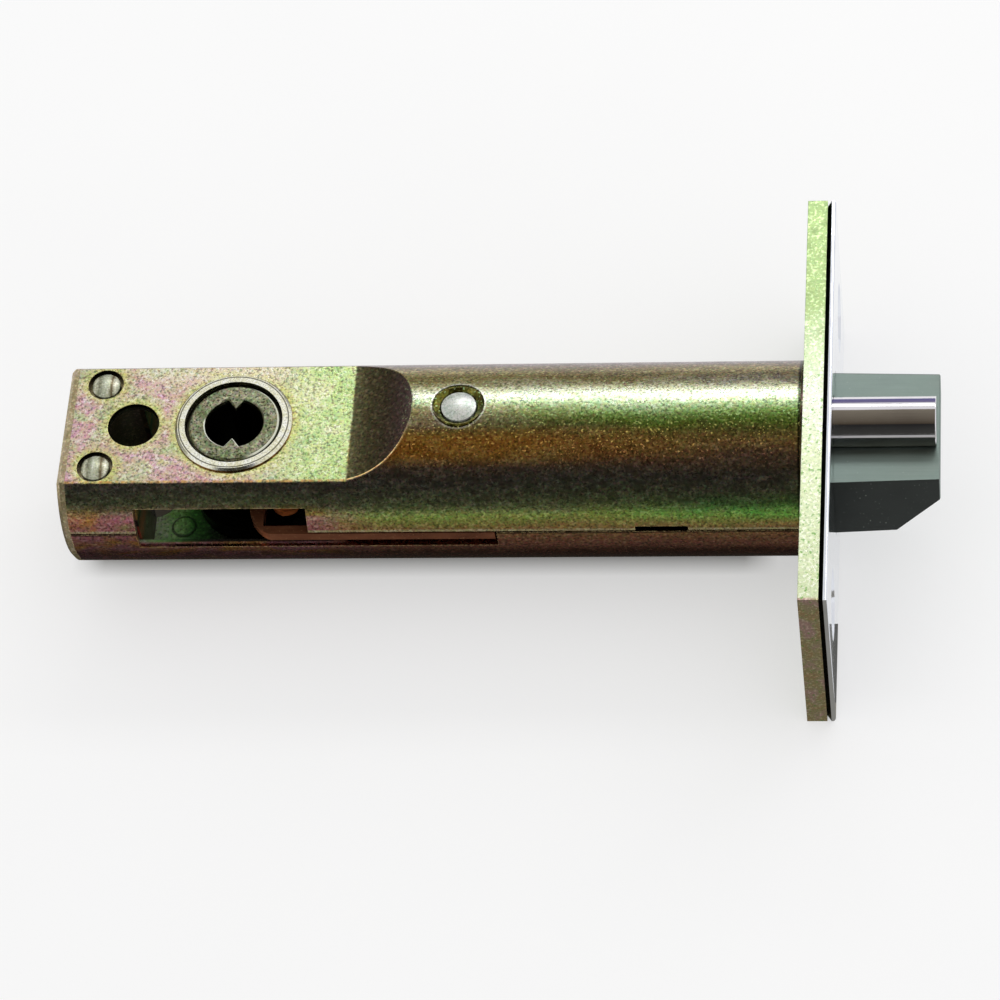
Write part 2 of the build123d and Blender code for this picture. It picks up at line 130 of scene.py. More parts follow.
class Finish:
    # one finish: a Principled shader fed from patterns on Object coordinates
    def __init__(self, name, metallic=1.0):
        self.material = bpy.data.materials.new(name)
        self.material.use_nodes = True
        self.tree = self.material.node_tree
        self.shader = self.tree.nodes["Principled BSDF"]
        self.shader.inputs["Metallic"].default_value = metallic
        self.place = self.add("ShaderNodeTexCoord").outputs["Object"]

    def add(self, kind):
        return self.tree.nodes.new(kind)

    def join(self, source, socket):
        self.tree.links.new(source, socket)

    def feed(self, socket, value):
        if isinstance(value, (int, float)):
            socket.default_value = value
        elif isinstance(value, tuple):
            socket.default_value = screenColour(*value)
        else:
            self.join(value, socket)

    def axes(self):
        split = self.add("ShaderNodeSeparateXYZ")
        self.join(self.place, split.inputs[0])
        return split.outputs

    def math(self, operation, first, second=0.0):
        node = self.add("ShaderNodeMath")
        node.operation = operation
        self.feed(node.inputs[0], first)
        self.feed(node.inputs[1], second)
        return node.outputs[0]

    def chain(self, operation, shares):
        result = shares[0]
        for share in shares[1:]:
            result = self.math(operation, result, share)
        return result

    def both(self, *shares):
        return self.chain("MULTIPLY", shares)

    def most(self, *shares):
        return self.chain("MAXIMUM", shares)

    # distance in metres from a point in mm, counted only along the axes that keep names
    def away(self, centre, keep):
        mapping = self.add("ShaderNodeMapping")
        mapping.inputs["Scale"].default_value = keep
        self.join(self.place, mapping.inputs["Vector"])
        node = self.add("ShaderNodeVectorMath")
        node.operation = "DISTANCE"
        self.join(mapping.outputs[0], node.inputs[0])
        node.inputs[1].default_value = [c * k * mm for c, k in zip(centre, keep)]
        return node.outputs["Value"]

    # size is the width of one blotch in mm; stretch draws it out along X, Y or Z
    def noise(self, size, detail=3, stretch=(1, 1, 1), shift=(0, 0, 0), warp=0.0, output="Fac"):
        mapping = self.add("ShaderNodeMapping")
        mapping.inputs["Scale"].default_value = [1 / s for s in stretch]
        mapping.inputs["Location"].default_value = [s * mm for s in shift]
        self.join(self.place, mapping.inputs["Vector"])
        node = self.add("ShaderNodeTexNoise")
        node.inputs["Scale"].default_value = 1 / (size * mm)
        node.inputs["Detail"].default_value = detail
        node.inputs["Distortion"].default_value = warp
        self.join(mapping.outputs[0], node.inputs["Vector"])
        return node.outputs[output]

    # soft patches of colour, laid alike on all the smaller pieces
    def patches(self, size, detail=5):
        return self.noise(size, detail, shift=(7, 3, 5), warp=0.4)

    def level(self, value, fromLow, fromHigh, toLow=0.0, toHigh=1.0):
        node = self.add("ShaderNodeMapRange")
        self.join(value, node.inputs["Value"])
        for key, number in (
            ("From Min", fromLow),
            ("From Max", fromHigh),
            ("To Min", toLow),
            ("To Max", toHigh),
        ):
            node.inputs[key].default_value = number
        return node.outputs[0]

    # the same for a place along an axis, with the span in mm
    def fade(self, value, start, end, toLow=0.0, toHigh=1.0):
        return self.level(value, start * mm, end * mm, toLow, toHigh)

    # 1 between two places, fading to 0 over soft on either side; all in mm
    def between(self, value, low, high, soft):
        return self.both(self.fade(value, low - soft, low), self.fade(value, high + soft, high))

    # 1 between the middle two of four values, fading to 0 at the outer two
    def window(self, value, span):
        start, full, ease, end = span
        return self.both(self.level(value, start, full), self.level(value, end, ease))

    # a value pushed up and down by a pattern
    def ripple(self, value, pattern, reach):
        return self.math("ADD", value, self.level(pattern, *wideSpan, -reach, reach))

    # scattered spots: a noise cut off between two values
    def flecks(self, look):
        return self.level(self.noise(**look["noise"]), *look["cut"], *look["share"])

    def ramp(self, value, stops, convert=screenColour):
        node = self.add("ShaderNodeValToRGB")
        elements = node.color_ramp.elements
        while len(elements) < len(stops):
            elements.new(1.0)
        for element, (position, tone) in zip(elements, stops):
            element.position = position
            element.color = convert(*tone)
        self.join(value, node.inputs[0])
        return node.outputs[0]

    def blend(self, share, first, second, mode="MIX"):
        node = self.add("ShaderNodeMix")
        node.data_type = "RGBA"
        node.blend_type = mode
        self.feed(node.inputs[0], share)
        self.feed(node.inputs[6], first)
        self.feed(node.inputs[7], second)
        return node.outputs[2]

    # fine coloured glitter over a body colour, with painted glints screened over it: size of a
    # grain, share and depth of its shading, and share of the stray hues
    def glitter(self, body, size, share, low, tint):
        grain = self.noise(size, 1)
        light = self.ramp(grain, [
            (0.34, (low, low, low)),
            (0.47, (240, 240, 240)),
            (0.56, (255, 255, 255)),
        ])
        body = self.blend(share, body, light, "MULTIPLY")
        hues = self.noise(size * 1.3, 1, shift=(9, 4, 2), output="Color")
        body = self.blend(tint, body, hues, "OVERLAY")
        paintedGlints = self.level(self.noise(size * 1.7, 1, shift=(21, 5, 13)), 0.54, 0.64)
        return self.blend(paintedGlints, body, body, "SCREEN"), grain

    # share of the way from a face to a rounded edge, 0 on flats and 1 on edges
    def edges(self, width, low, high):
        bevel = self.add("ShaderNodeBevel")
        bevel.inputs["Radius"].default_value = width * mm
        face = self.add("ShaderNodeNewGeometry")
        dot = self.add("ShaderNodeVectorMath")
        dot.operation = "DOT_PRODUCT"
        self.join(bevel.outputs[0], dot.inputs[0])
        self.join(face.outputs["Normal"], dot.inputs[1])
        return self.level(self.math("SUBTRACT", 1.0, dot.outputs["Value"]), low, high)

    def colour(self, value):
        self.join(value, self.shader.inputs["Base Color"])

    def metal(self, share, least=0.0):
        self.join(self.level(share, 0.0, 1.0, 1.0, least), self.shader.inputs["Metallic"])

    def rough(self, value, low, high):
        self.join(self.level(value, *narrowSpan, low, high), self.shader.inputs["Roughness"])

    # fine relief, on edges softened by so many mm
    def bump(self, value, depth, strength, soften=0.0):
        node = self.add("ShaderNodeBump")
        if soften:
            bevel = self.add("ShaderNodeBevel")
            bevel.inputs["Radius"].default_value = soften * mm
            self.join(bevel.outputs[0], node.inputs["Normal"])
        node.inputs["Strength"].default_value = strength
        node.inputs["Distance"].default_value = depth * mm
        self.join(value, node.inputs["Height"])
        self.join(node.outputs[0], self.shader.inputs["Normal"])

    def paint(self, *names):
        for name in names:
            slots = nodes[name].data.materials
            slots.clear()
            slots.append(self.material)


# rolled case: yellow-passivated zinc, its tints mixed with painted reflections, a painted
# highlight and painted dark bands that drift round the tube; bands stand in degrees and turn in
# whole turns from the top toward -Y, other places and sizes in mm
caseLook = {
    "blotch": {"size": 3.2, "detail": 6, "stretch": (2, 1, 1), "shift": (3, 8, 0), "warp": 0.5},
    "mottle": {"size": 3.4, "detail": 6, "stretch": (1.3, 1, 1), "shift": (3, 8, 0), "warp": 0.7},
    "drift": {"noise": {"size": 5.0, "detail": 4, "stretch": (3, 1, 1)}, "reach": 0.014},
    "bands": [
        (-180, (196, 176, 116)),
        (-130, (204, 190, 130)),
        (-95, (206, 184, 124)),
        (-72, (190, 178, 118)),
        (-58, (166, 146, 128)),
        (-46, (124, 106, 112)),
        (-35, (138, 122, 92)),
        (-22, (190, 176, 114)),
        (-14, (224, 222, 176)),
        (-8, (226, 234, 206)),
        (0, (200, 222, 172)),
        (7, (150, 184, 104)),
        (13, (126, 160, 70)),
        (19, (138, 138, 80)),
        (27, (190, 158, 104)),
        (36, (152, 128, 108)),
        (48, (158, 150, 132)),
        (60, (172, 180, 132)),
        (69, (164, 184, 94)),
        (79, (188, 148, 100)),
        (92, (200, 134, 106)),
        (112, (160, 112, 92)),
        (150, (186, 166, 112)),
    ],
    "olive": {
        "turn": (-0.005, 0.01, 0.045, 0.06),
        "x": (-22, -44),
        "stops": [(0.3, (150, 146, 92)), (0.5, (176, 162, 120)), (0.7, (196, 172, 150))],
    },
    "warm": {
        "turn": (0.04, 0.065, 0.09, 0.11),
        "x": (-8, -36),
        "stops": [(0.3, (186, 120, 50)), (0.5, (222, 160, 78)), (0.7, (238, 196, 114))],
    },
    "flank": {
        "turn": (0.165, 0.195, 0.6, 0.7),
        "x": (-50, -60),
        "stops": [
            (0.36, (226, 158, 84)),
            (0.48, (208, 140, 140)),
            (0.6, (214, 136, 150)),
            (0.7, (184, 166, 120)),
        ],
    },
    "green": {
        "turn": (0.15, 0.18, 0.19, 0.21),
        "x": (-24, -8),
        "patches": (0.3, 0.6, 0.2, 0.8),
        "tone": (96, 206, 84),
    },
    "seam": {
        "y": (-9, -10),
        "z": 1.65,
        "soft": 0.1,
        "lips": [(0.15, 0.4, 0.7, (226, 220, 170)), (-0.3, 0.0, 0.8, (40, 32, 26))],
    },
    "mouth": {"x": (-0.75, -0.55), "share": 0.9, "tone": (24, 22, 16)},
    "flats": {
        "height": (7.81, 7.89),
        "patches": [
            (0.28, (184, 204, 160)),
            (0.40, (220, 216, 176)),
            (0.48, (232, 206, 184)),
            (0.56, (230, 182, 190)),
            (0.66, (226, 206, 190)),
            (0.76, (236, 236, 166)),
        ],
        "green": [(0.3, (192, 220, 146)), (0.5, (218, 240, 168)), (0.7, (242, 246, 190))],
        "greenX": (-66, -59),
        "wander": 4,
    },
    "holes": [((-79.45, 0, 0), 3.1), ((-83.45, 6, 0), 2.15), ((-83.45, -6, 0), 2.15)],
    "hubHole": ((-67.35, 0, 0), 7.0),
    "halo": {"outer": 1.3, "inner": 0.2, "wander": 0.5, "share": 0.8, "tone": (226, 228, 140)},
    "wall": {"outer": 0.08, "inner": 0.03, "height": (7.9, 7.8), "tone": (26, 24, 18)},
    "farSide": {
        "x": (-77, -62),
        "y": (4.5, 7.5),
        "soft": 3,
        "patches": (0.3, 0.6, 0.4, 0.9),
        "tone": (255, 246, 208),
    },
    "ramp": {
        "start": -53.4,
        "length": 7,
        "edge": (-0.1, 0.3),
        "hollow": (11.47, 11.38),
        "stops": [
            (0.0, (140, 136, 98)),
            (0.3, (108, 100, 72)),
            (0.6, (94, 82, 63)),
            (0.85, (98, 78, 72)),
        ],
    },
    "rampRim": {"radius": (11.33, 11.42), "soft": 0.02, "y": (-2, -5), "tone": (255, 208, 136)},
    "flatRim": {
        "y": (-8.0, -8.15),
        "noise": {"size": 0.7, "detail": 2, "shift": (5, 2, 8)},
        "cut": (0.4, 0.55),
        "share": (0.2, 0.9),
        "tone": (196, 146, 66),
    },
    "sink": {
        "centre": (-40.25, 0, 0),
        "z": (9.0, 9.2),
        "radius": (3.07, 2.99),
        "stops": [(0.35, (66, 76, 28)), (0.6, (120, 116, 50))],
        "rims": [(2.08, 2.2), (2.95, 3.05)],
        "rimSoft": 0.1,
        "rimTone": (34, 30, 18),
        "lip": (3.13, 3.25),
        "lipSoft": 0.08,
        "lipShare": 0.8,
        "lipTone": (252, 252, 236),
    },
    "glitter": (0.27, 0.9, 158, 0.42),
    "wornAndGlinting": {
        "edge": (0.13, 0.03, 0.2),
        "noise": {"size": 0.5, "detail": 2, "shift": (1, 7, 3)},
        "cut": (0.4, 0.55),
        "share": (0.15, 0.8),
        "tone": (250, 224, 160),
        "bare": 0.8,
    },
    "stains": {
        "noise": {"size": 1.6, "detail": 5, "stretch": (2, 1, 1), "shift": (40, 0, 0)},
        "cut": (0.62, 0.74),
        "share": (0.0, 0.4),
        "tone": (96, 80, 70),
    },
    "pits": {
        "noise": {"size": 0.5, "detail": 1, "shift": (11, 0, 4)},
        "cut": (0.74, 0.8),
        "share": (0.0, 0.7),
        "tone": (60, 52, 36),
    },
    "paintedGlints": {
        "turn": (-0.09, -0.04, 0.075, 0.125),
        "x": (-48, -46),
        "noise": {"size": 0.24, "detail": 0, "shift": (2, 31, 6)},
        "cut": (0.66, 0.8),
        "share": (0.0, 1.0),
        "strength": 0.6,
        "stops": [(0.02, (196, 240, 170)), (0.05, (238, 214, 110)), (0.09, (226, 150, 80))],
    },
    "inside": {
        "radius": (11.1, 10.7),
        "height": (7.5, 7.2),
        "x": (-54, -56),
        "wander": 1,
        "paintedLightFadeX": (-79, -70),
        "stops": [
            (0.0, (236, 255, 206)),
            (0.25, (170, 230, 130)),
            (0.5, (74, 140, 58)),
            (0.8, (34, 60, 28)),
            (1.0, (30, 28, 24)),
        ],
        "glitter": (0.3, 0.7, 170, 0.2),
        "upperZ": (-3, 0),
        "upperTone": (26, 24, 20),
    },
    "dimple": {
        "centre": (-75.25, -4.5, 0),
        "radius": (1.3, 1.5),
        "soft": 0.1,
        "share": 0.7,
        "tone": (16, 30, 14),
    },
    "roughNoise": {"size": 0.9, "detail": 4, "stretch": (2, 1, 1)},
    "rough": (0.20, 0.34),
    "bump": (0.02, 0.7, 0.1),
}


def paintCase():
    zinc = Finish("caseZinc")
    x, y, z = zinc.axes()
    height = zinc.math("ABSOLUTE", z)
    radius = zinc.away((0, 0, 0), aboutX)
    blotch = zinc.noise(**caseLook["blotch"])
    mottle = zinc.noise(**caseLook["mottle"])

    # bands round the tube, the zinc's tints with a painted highlight, painted reflections and
    # painted dark bands, turning warm toward the rear and green toward the plate
    angle = zinc.math("ARCTAN2", zinc.math("MULTIPLY", y, -1.0), z)
    turn = zinc.math("DIVIDE", angle, 2 * math.pi)
    drift = caseLook["drift"]
    around = zinc.math("ADD", zinc.ripple(turn, zinc.noise(**drift["noise"]), drift["reach"]), 0.5)
    stops = [((degrees + 180) / 360, tone) for degrees, tone in caseLook["bands"]]
    body = zinc.ramp(around, stops)
    for key in ("olive", "warm", "flank"):
        look = caseLook[key]
        band = zinc.both(zinc.window(turn, look["turn"]), zinc.fade(x, *look["x"]))
        body = zinc.blend(band, body, zinc.ramp(blotch, look["stops"]))
    look = caseLook["green"]
    band = zinc.both(zinc.window(turn, look["turn"]), zinc.fade(x, *look["x"]))
    greener = zinc.both(band, zinc.level(blotch, *look["patches"]))
    body = zinc.blend(greener, body, look["tone"])

    # the seam: a painted highlight along its upper lip and a dark line in it; and painted shade at
    # the end against the plate
    look = caseLook["seam"]
    nearSide = zinc.fade(y, *look["y"])
    for low, high, share, tone in look["lips"]:
        lip = zinc.between(z, look["z"] + low, look["z"] + high, look["soft"])
        body = zinc.blend(zinc.both(nearSide, lip, share), body, tone)
    look = caseLook["mouth"]
    body = zinc.blend(zinc.fade(x, *look["x"], 0.0, look["share"]), body, look["tone"])

    # the two flats, patchy at the rear and green toward the ramp, yellower round the holes
    look = caseLook["flats"]
    onTop = zinc.fade(height, *look["height"])
    forward = zinc.ripple(x, mottle, look["wander"] * mm)
    flat = zinc.blend(
        zinc.fade(forward, *look["greenX"]),
        zinc.ramp(mottle, look["patches"]),
        zinc.ramp(mottle, look["green"]),
    )
    look = caseLook["halo"]
    for centre, hole in caseLook["holes"] + [caseLook["hubHole"]]:
        gap = zinc.ripple(zinc.away(centre, aboutZ), blotch, look["wander"] * mm)
        ring = zinc.fade(gap, hole + look["outer"], hole + look["inner"], 0.0, look["share"])
        flat = zinc.blend(ring, flat, look["tone"])
    look = caseLook["farSide"]
    farSide = zinc.both(
        zinc.fade(y, *look["y"]),
        zinc.between(x, *look["x"], look["soft"]),
        zinc.level(mottle, *look["patches"]),
    )
    flat = zinc.blend(farSide, flat, look["tone"])

    # ramps between the flats and the round tube, darkened as a painted dark reflection, with a
    # painted highlight line along their near rim
    look = caseLook["ramp"]
    start = look["start"]
    rear, front = (start + edge for edge in look["edge"])
    behind = zinc.fade(x, front, rear)
    ahead = zinc.fade(x, rear, front)
    body = zinc.blend(zinc.both(onTop, behind), body, flat)
    hollow = zinc.fade(radius, *look["hollow"])
    rampPaintedReflection = zinc.ramp(zinc.fade(x, start, start + look["length"]), look["stops"])
    body = zinc.blend(zinc.both(onTop, ahead, hollow), body, rampPaintedReflection)
    look = caseLook["rampRim"]
    line = zinc.between(radius, *look["radius"], look["soft"])
    rampRim = zinc.both(line, ahead, onTop, zinc.fade(y, *look["y"]))
    body = zinc.blend(rampRim, body, look["tone"])
    # painted glints: golden flecks along the near edge of the flats
    look = caseLook["flatRim"]
    flatRim = zinc.both(zinc.fade(y, *look["y"]), onTop, behind, zinc.flecks(look))
    body = zinc.blend(flatRim, body, look["tone"])

    # countersink round the stop rivet, with a dark line at each rim and a painted highlight line
    # just outside
    look = caseLook["sink"]
    ring = zinc.away(look["centre"], aboutZ)
    upper = zinc.fade(z, *look["z"])
    sunk = zinc.both(upper, zinc.fade(ring, *look["radius"]))
    body = zinc.blend(sunk, body, zinc.ramp(blotch, look["stops"]))
    rims = zinc.most(*[zinc.between(ring, *rim, look["rimSoft"]) for rim in look["rims"]])
    body = zinc.blend(zinc.both(rims, upper), body, look["rimTone"])
    # painted highlight: a bright line just outside the countersink
    lip = zinc.between(ring, *look["lip"], look["lipSoft"])
    body = zinc.blend(zinc.both(lip, upper, look["lipShare"]), body, look["lipTone"])

    # glitter, worn edges with painted glints along them, stains, pits, and painted glints in a
    # band round the tube
    body, grain = zinc.glitter(body, *caseLook["glitter"])
    look = caseLook["wornAndGlinting"]
    wornAndGlinting = zinc.both(zinc.edges(*look["edge"]), zinc.flecks(look))
    body = zinc.blend(wornAndGlinting, body, look["tone"])
    for key in ("stains", "pits"):
        look = caseLook[key]
        body = zinc.blend(zinc.flecks(look), body, look["tone"])
    look = caseLook["paintedGlints"]
    band = zinc.both(zinc.window(turn, look["turn"]), zinc.fade(x, *look["x"]))
    paintedGlints = zinc.both(zinc.flecks(look), band, look["strength"])
    body = zinc.blend(paintedGlints, body, zinc.ramp(turn, look["stops"]))

    # the green inside, painted light near the rear fading to painted shade toward the front and on
    # its upper half, with its dimple, and painted shade on the walls in the holes
    look = caseLook["inside"]
    within = zinc.both(
        zinc.fade(radius, *look["radius"]),
        zinc.fade(height, *look["height"]),
        zinc.fade(x, *look["x"]),
    )
    paintedLightFade = zinc.fade(zinc.ripple(x, blotch, look["wander"] * mm), *look["paintedLightFadeX"])
    inside = zinc.glitter(zinc.ramp(paintedLightFade, look["stops"]), *look["glitter"])[0]
    inside = zinc.blend(zinc.fade(z, *look["upperZ"]), inside, look["upperTone"])
    look = caseLook["dimple"]
    mark = zinc.between(zinc.away(look["centre"], aboutZ), *look["radius"], look["soft"])
    inside = zinc.blend(zinc.both(mark, look["share"]), inside, look["tone"])
    body = zinc.blend(within, body, inside)
    look = caseLook["wall"]
    for centre, hole in caseLook["holes"]:
        ring = zinc.away(centre, aboutZ)
        wall = zinc.fade(ring, hole + look["outer"], hole + look["inner"])
        body = zinc.blend(zinc.both(wall, zinc.fade(height, *look["height"])), body, look["tone"])

    zinc.colour(body)
    rubbedAndGlinting = zinc.both(wornAndGlinting, caseLook["wornAndGlinting"]["bare"])
    zinc.metal(zinc.most(within, rampRim, flatRim, rubbedAndGlinting, paintedGlints))
    zinc.rough(zinc.noise(**caseLook["roughNoise"]), *caseLook["rough"])
    zinc.bump(grain, *caseLook["bump"])
    zinc.paint("case_tube")


# smaller inner pieces share one recipe with their own colours
zincLooks = {
    "innerZinc": {
        "nodes": ("spring_stop", "bolt_guide"),
        "stops": [(0.3, (104, 96, 72)), (0.5, (140, 130, 98)), (0.7, (170, 162, 122))],
        "patches": 2.0,
        "glitter": (0.3, 0.8, 150, 0.2),
        "pits": {
            "noise": {"size": 0.75, "detail": 1, "shift": (11, 0, 4)},
            "cut": (0.68, 0.74),
            "share": (0.0, 0.7),
            "tone": (70, 60, 44),
        },
        "roughNoise": {"size": 1.0, "detail": 4},
        "rough": (0.30, 0.45),
        "bump": (0.015, 0.25),
    },
    "innerSteel": {
        "nodes": ("deadlock_pawl", "pawl_pin", "tail_pin", "plunger_rod"),
        "stops": [(0.3, (120, 120, 122)), (0.5, (156, 156, 158)), (0.7, (184, 184, 186))],
        "patches": 1.5,
        "glitter": (0.2, 0.6, 160, 0.0),
        "pits": {
            "noise": {"size": 0.5, "detail": 1, "shift": (11, 0, 4)},
            "cut": (0.68, 0.74),
            "share": (0.0, 0.7),
            "tone": (80, 78, 76),
        },
        "roughNoise": {"size": 0.75, "detail": 4},
        "rough": (0.24, 0.40),
        "bump": (0.015, 0.25),
    },
}


def paintZinc(name, look):
    zinc = Finish(name)
    body = zinc.ramp(zinc.patches(look["patches"]), look["stops"])
    body, grain = zinc.glitter(body, *look["glitter"])
    zinc.colour(zinc.blend(zinc.flecks(look["pits"]), body, look["pits"]["tone"]))
    zinc.rough(zinc.noise(**look["roughNoise"]), *look["rough"])
    zinc.bump(grain, *look["bump"])
    zinc.paint(*look["nodes"])


# back plate: pale, greener toward its upper end, with green pits
plateLook = {
    "half": 28.6,
    "patches": 2.4,
    "wander": 2,
    "along": [
        (0.0, (222, 234, 190)),
        (0.35, (226, 236, 196)),
        (0.5, (232, 238, 216)),
        (0.6, (206, 222, 180)),
        (0.72, (162, 184, 128)),
        (1.0, (152, 174, 120)),
    ],
    "endY": (-28.1, -28.4),
    "end": [(0.36, (196, 168, 128)), (0.5, (184, 176, 134)), (0.64, (206, 172, 164))],
    "glitter": (0.22, 0.4, 190, 0.12),
    "pits": {
        "noise": {"size": 0.42, "detail": 2, "shift": (11, 0, 4)},
        "cut": (0.6, 0.68),
        "share": (0.0, 0.8),
        "tone": (120, 176, 84),
        "fewerY": (8, 2, 0.1, 1.0),
    },
    "roughNoise": {"size": 1.2, "detail": 4},
    "rough": (0.24, 0.38),
    "bump": (0.015, 0.2, 0.12),
}


def paintPlate():
    zinc = Finish("plateZinc")
    y = zinc.axes()[1]
    half = plateLook["half"]
    patches = zinc.patches(plateLook["patches"])
    wave = zinc.ripple(y, patches, plateLook["wander"] * mm)
    body = zinc.ramp(zinc.fade(wave, -half, half), plateLook["along"])
    onEnd = zinc.fade(y, *plateLook["endY"])
    body = zinc.blend(onEnd, body, zinc.ramp(patches, plateLook["end"]))
    body, grain = zinc.glitter(body, *plateLook["glitter"])
    look = plateLook["pits"]
    pits = zinc.both(zinc.flecks(look), zinc.fade(wave, *look["fewerY"]))
    zinc.colour(zinc.blend(pits, body, look["tone"]))
    zinc.rough(zinc.noise(**plateLook["roughNoise"]), *plateLook["rough"])
    zinc.bump(grain, *plateLook["bump"])
    zinc.paint("back_plate")


# bush rings: bright, with a painted dark line round the top for the shading of the rounded rim,
# and dark brown sides of painted shade
bushLook = {
    "body": [(0.3, (232, 228, 190)), (0.5, (248, 246, 220)), (0.7, (255, 255, 244))],
    "patches": 1.4,
    "glitter": (0.2, 0.5, 170, 0.15),
    "line": {"radius": (6.5, 6.6), "soft": 0.05, "share": 0.85, "tone": (60, 54, 36)},
    "side": {"radius": (6.96, 7.0), "stops": [(0.35, (70, 44, 18)), (0.6, (150, 104, 40))]},
    "roughNoise": {"size": 0.7, "detail": 4},
    "rough": (0.16, 0.30),
    "bump": (0.01, 0.2),
}


def paintBushes():
    zinc = Finish("bushZinc")
    reach = zinc.away(hubLook["centre"], aboutZ)
    patches = zinc.patches(bushLook["patches"])
    body, grain = zinc.glitter(zinc.ramp(patches, bushLook["body"]), *bushLook["glitter"])
    # painted shade: a dark line round the top of the rim
    look = bushLook["line"]
    line = zinc.between(reach, *look["radius"], look["soft"])
    body = zinc.blend(zinc.both(line, look["share"]), body, look["tone"])
    # painted shade: the sides darkened to brown
    look = bushLook["side"]
    body = zinc.blend(zinc.fade(reach, *look["radius"]), body, zinc.ramp(patches, look["stops"]))
    zinc.colour(body)
    zinc.rough(zinc.noise(**bushLook["roughNoise"]), *bushLook["rough"])
    zinc.bump(grain, *bushLook["bump"])
    zinc.paint("hub_bush_upper", "hub_bush_lower")


# end plug: plain outside; the face that shows in the window has brown and red bands with a dark
# line across, and painted shade round its hole
plugLook = {
    "metallic": 0.7,
    "body": [(0.3, (146, 132, 96)), (0.5, (172, 156, 118)), (0.7, (190, 172, 146))],
    "patches": (3.6, 3),
    "frontX": (-79.4, -79.3),
    "frontZ": (-2.0, 5.0),
    "waveNoise": {"size": 1.5, "detail": 3},
    "wander": 0.4,
    "front": [
        (0.0, (70, 30, 22)),
        (0.30, (150, 66, 46)),
        (0.50, (120, 52, 38)),
        (0.56, (26, 20, 16)),
        (0.64, (26, 20, 16)),
        (0.70, (150, 116, 62)),
        (1.0, (120, 96, 54)),
    ],
    "hole": {
        "centre": (-79.45, 0, 0),
        "radius": (3.7, 3.6),
        "share": 0.85,
        "tone": (26, 24, 20),
    },
    "glitter": (0.2, 0.4, 170, 0.25),
    "roughNoise": {"size": 1.1, "detail": 4},
    "rough": (0.26, 0.38),
    "bump": (0.008, 0.15),
}


def paintPlug():
    zinc = Finish("plugZinc", plugLook["metallic"])
    axes = zinc.axes()
    body = zinc.ramp(zinc.patches(*plugLook["patches"]), plugLook["body"])
    wave = zinc.ripple(axes[2], zinc.noise(**plugLook["waveNoise"]), plugLook["wander"] * mm)
    front = zinc.ramp(zinc.fade(wave, *plugLook["frontZ"]), plugLook["front"])
    body = zinc.blend(zinc.fade(axes[0], *plugLook["frontX"]), body, front)
    # painted shade in and round the plug's hole
    look = plugLook["hole"]
    hole = zinc.fade(zinc.away(look["centre"], aboutZ), *look["radius"], 0.0, look["share"])
    body = zinc.blend(hole, body, look["tone"])
    body, grain = zinc.glitter(body, *plugLook["glitter"])
    zinc.colour(body)
    zinc.rough(zinc.noise(**plugLook["roughNoise"]), *plugLook["rough"])
    zinc.bump(grain, *plugLook["bump"])
    zinc.paint("end_plug")


# rivets: bright steel, with light and dark bars of painted reflection across each rear head
rivetLook = {
    "metallic": 0.5,
    "barNoise": {"size": 1.2, "detail": 3, "stretch": (1, 3, 1)},
    "wander": 0.2,
    "barX": (-85.15, -81.75),
    "paintedReflectionBars": [
        (0.0, (70, 72, 48)),
        (0.13, (240, 240, 210)),
        (0.26, (140, 142, 116)),
        (0.44, (222, 228, 202)),
        (0.60, (214, 218, 186)),
        (0.72, (112, 96, 62)),
        (0.86, (240, 240, 212)),
        (1.0, (76, 78, 50)),
    ],
    "buttonNoise": {"size": 0.9, "detail": 4},
    "button": [(0.3, (204, 218, 206)), (0.5, (234, 240, 230)), (0.7, (252, 252, 246))],
    "rearX": (-60, -62),
    "glitter": (0.18, 0.5, 160, 0.15),
    "roughNoise": {"size": 0.6, "detail": 3},
    "rough": (0.30, 0.42),
    "bump": (0.01, 0.2),
}


def paintRivets():
    steel = Finish("rivetSteel", rivetLook["metallic"])
    x = steel.axes()[0]
    # painted reflection: light and dark bars across the rear heads
    wave = steel.ripple(x, steel.noise(**rivetLook["barNoise"]), rivetLook["wander"] * mm)
    paintedReflectionBars = steel.ramp(steel.fade(wave, *rivetLook["barX"]), rivetLook["paintedReflectionBars"])
    button = steel.ramp(steel.noise(**rivetLook["buttonNoise"]), rivetLook["button"])
    body = steel.blend(steel.fade(x, *rivetLook["rearX"]), button, paintedReflectionBars)
    body, grain = steel.glitter(body, *rivetLook["glitter"])
    steel.colour(body)
    steel.rough(steel.noise(**rivetLook["roughNoise"]), *rivetLook["rough"])
    steel.bump(grain, *rivetLook["bump"])
    steel.paint("rear_rivets", "stop_rivet")


